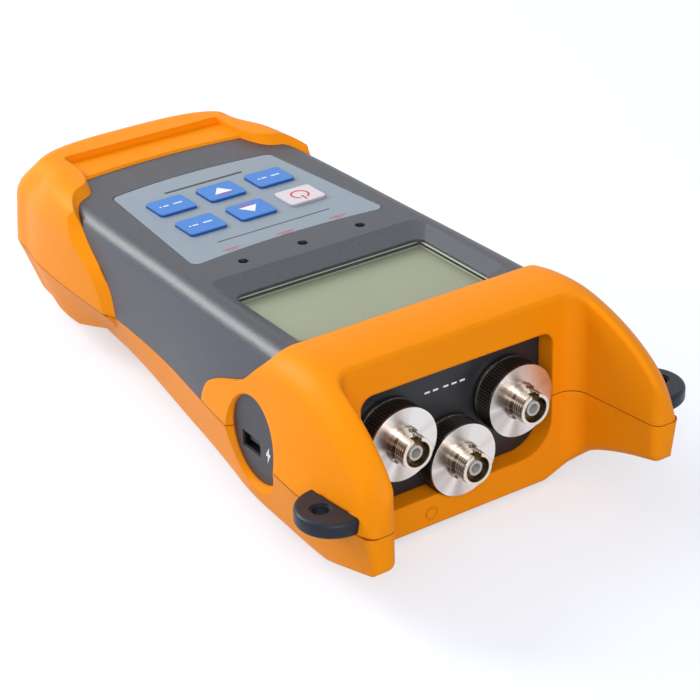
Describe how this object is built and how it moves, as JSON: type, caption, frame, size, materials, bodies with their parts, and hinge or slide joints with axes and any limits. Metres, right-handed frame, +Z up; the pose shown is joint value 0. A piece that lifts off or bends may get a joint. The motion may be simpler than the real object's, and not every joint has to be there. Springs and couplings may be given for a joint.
{
  "type": "handheld optical power meter",
  "caption": "Handheld optical power meter: grey case with orange end guards, keypad, display and round fibre ports between two arms.",
  "frame": {"origin": "under the middle of the case, on the surface that the feet rest on", "axes": "+Z up out of the key face, +Y out of the fibre ports, +X towards the charging socket"},
  "size_m": [0.1088, 0.2, 0.0515],
  "materials": {
    "grey_shell": "fine speckled satin",
    "orange_shell": "satin",
    "orange_guard": "satin",
    "label": "satin print",
    "key_blue": "satin",
    "key_white": "satin",
    "silicone": "matte",
    "smoked_lens": "gloss",
    "display_window": "clear",
    "display_cell": "satin",
    "diffuser": "milky",
    "black_plastic": "satin",
    "circuit_board": "varnished",
    "steel_screw": "plated",
    "battery_wrap": "shrink wrap",
    "contact_metal": "sprung sheet",
    "socket_steel": "stamped sheet",
    "port_brass": "machined",
    "module_metal": "turned",
    "nickel": "bright nickel plate",
    "ceramic": "zirconia"
  },
  "bodies": {
    "power_key_body": {"power_key": "key_white"},
    "up_key_body": {"up_key": "key_blue"},
    "plain_key_1_body": {"plain_key_1": "key_blue"},
    "plain_key_2_body": {"plain_key_2": "key_blue"},
    "down_key_body": {"down_key": "key_blue"},
    "plain_key_3_body": {"plain_key_3": "key_blue"},
    "adapter_1": {"adapter_barrel_1": "nickel", "adapter_sleeve_1": "ceramic"},
    "cap_1": {"adapter_cap_1": "nickel"},
    "adapter_2": {"adapter_barrel_2": "nickel", "adapter_sleeve_2": "ceramic"},
    "cap_2": {"adapter_cap_2": "nickel"},
    "adapter_3": {"adapter_barrel_3": "nickel", "adapter_sleeve_3": "ceramic"},
    "cap_3": {"adapter_cap_3": "nickel"},
    "casing": {"front_cover": "grey_shell", "back_cover": "orange_shell", "battery_door": "orange_shell", "tail_guard": "orange_guard", "head_guard": "orange_guard", "keypad_label": "label", "key_mat": "silicone", "indicator_1": "smoked_lens", "indicator_2": "smoked_lens", "indicator_3": "smoked_lens", "lcd_window": "display_window", "lcd_panel": "display_cell", "lcd_backlight": "diffuser", "lcd_frame": "black_plastic", "connector_panel": "black_plastic", "usb_plate": "black_plastic", "usb_tongue": "black_plastic", "strap_lug_left": "black_plastic", "strap_lug_right": "black_plastic", "main_board": "circuit_board", "port_board": "circuit_board", "charge_board": "circuit_board", "board_screws": "steel_screw", "case_screws": "steel_screw", "battery_door_screw": "steel_screw", "battery_pack": "battery_wrap", "battery_contacts": "contact_metal", "usb_socket": "socket_steel", "port_stub_1": "port_brass", "port_stub_2": "port_brass", "port_stub_3": "port_brass", "port_module_1": "module_metal", "port_module_2": "module_metal", "port_module_3": "module_metal"}
  },
  "joints": [
    {"name": "power_key_press", "type": "slide", "parent": "casing", "child": "power_key_body", "axis": [0, 0, -1], "range_m": [0, 0.0005], "stiffness_N_per_m": 1500, "springref_m": -0.0003},
    {"name": "up_key_press", "type": "slide", "parent": "casing", "child": "up_key_body", "axis": [0, 0, -1], "range_m": [0, 0.0005], "stiffness_N_per_m": 1500, "springref_m": -0.0003},
    {"name": "plain_key_1_press", "type": "slide", "parent": "casing", "child": "plain_key_1_body", "axis": [0, 0, -1], "range_m": [0, 0.0005], "stiffness_N_per_m": 1500, "springref_m": -0.0003},
    {"name": "plain_key_2_press", "type": "slide", "parent": "casing", "child": "plain_key_2_body", "axis": [0, 0, -1], "range_m": [0, 0.0005], "stiffness_N_per_m": 1500, "springref_m": -0.0003},
    {"name": "down_key_press", "type": "slide", "parent": "casing", "child": "down_key_body", "axis": [0, 0, -1], "range_m": [0, 0.0005], "stiffness_N_per_m": 1500, "springref_m": -0.0003},
    {"name": "plain_key_3_press", "type": "slide", "parent": "casing", "child": "plain_key_3_body", "axis": [0, 0, -1], "range_m": [0, 0.0005], "stiffness_N_per_m": 1500, "springref_m": -0.0003},
    {"name": "adapter_1_advance", "type": "slide", "parent": "casing", "child": "adapter_1", "axis": [0, 1, 0], "range_m": [0, 0.003]},
    {"name": "cap_1_unscrew", "type": "hinge", "parent": "adapter_1", "child": "cap_1", "pos_m": [-0.0171, 0.0712, 0.0272], "axis": [0, 1, 0], "range_deg": [0, 1440]},
    {"name": "adapter_2_advance", "type": "slide", "parent": "casing", "child": "adapter_2", "axis": [0, 1, 0], "range_m": [0, 0.003]},
    {"name": "cap_2_unscrew", "type": "hinge", "parent": "adapter_2", "child": "cap_2", "pos_m": [0, 0.0712, 0.017], "axis": [0, 1, 0], "range_deg": [0, 1440]},
    {"name": "adapter_3_advance", "type": "slide", "parent": "casing", "child": "adapter_3", "axis": [0, 1, 0], "range_m": [0, 0.003]},
    {"name": "cap_3_unscrew", "type": "hinge", "parent": "adapter_3", "child": "cap_3", "pos_m": [0.0171, 0.0712, 0.0272], "axis": [0, 1, 0], "range_deg": [0, 1440]}
  ],
  "couplings": [
    {"joint": "cap_1_unscrew", "follows": "adapter_1_advance", "rad_per_m": 8377.6},
    {"joint": "cap_2_unscrew", "follows": "adapter_2_advance", "rad_per_m": 8377.6},
    {"joint": "cap_3_unscrew", "follows": "adapter_3_advance", "rad_per_m": 8377.6}
  ]
}
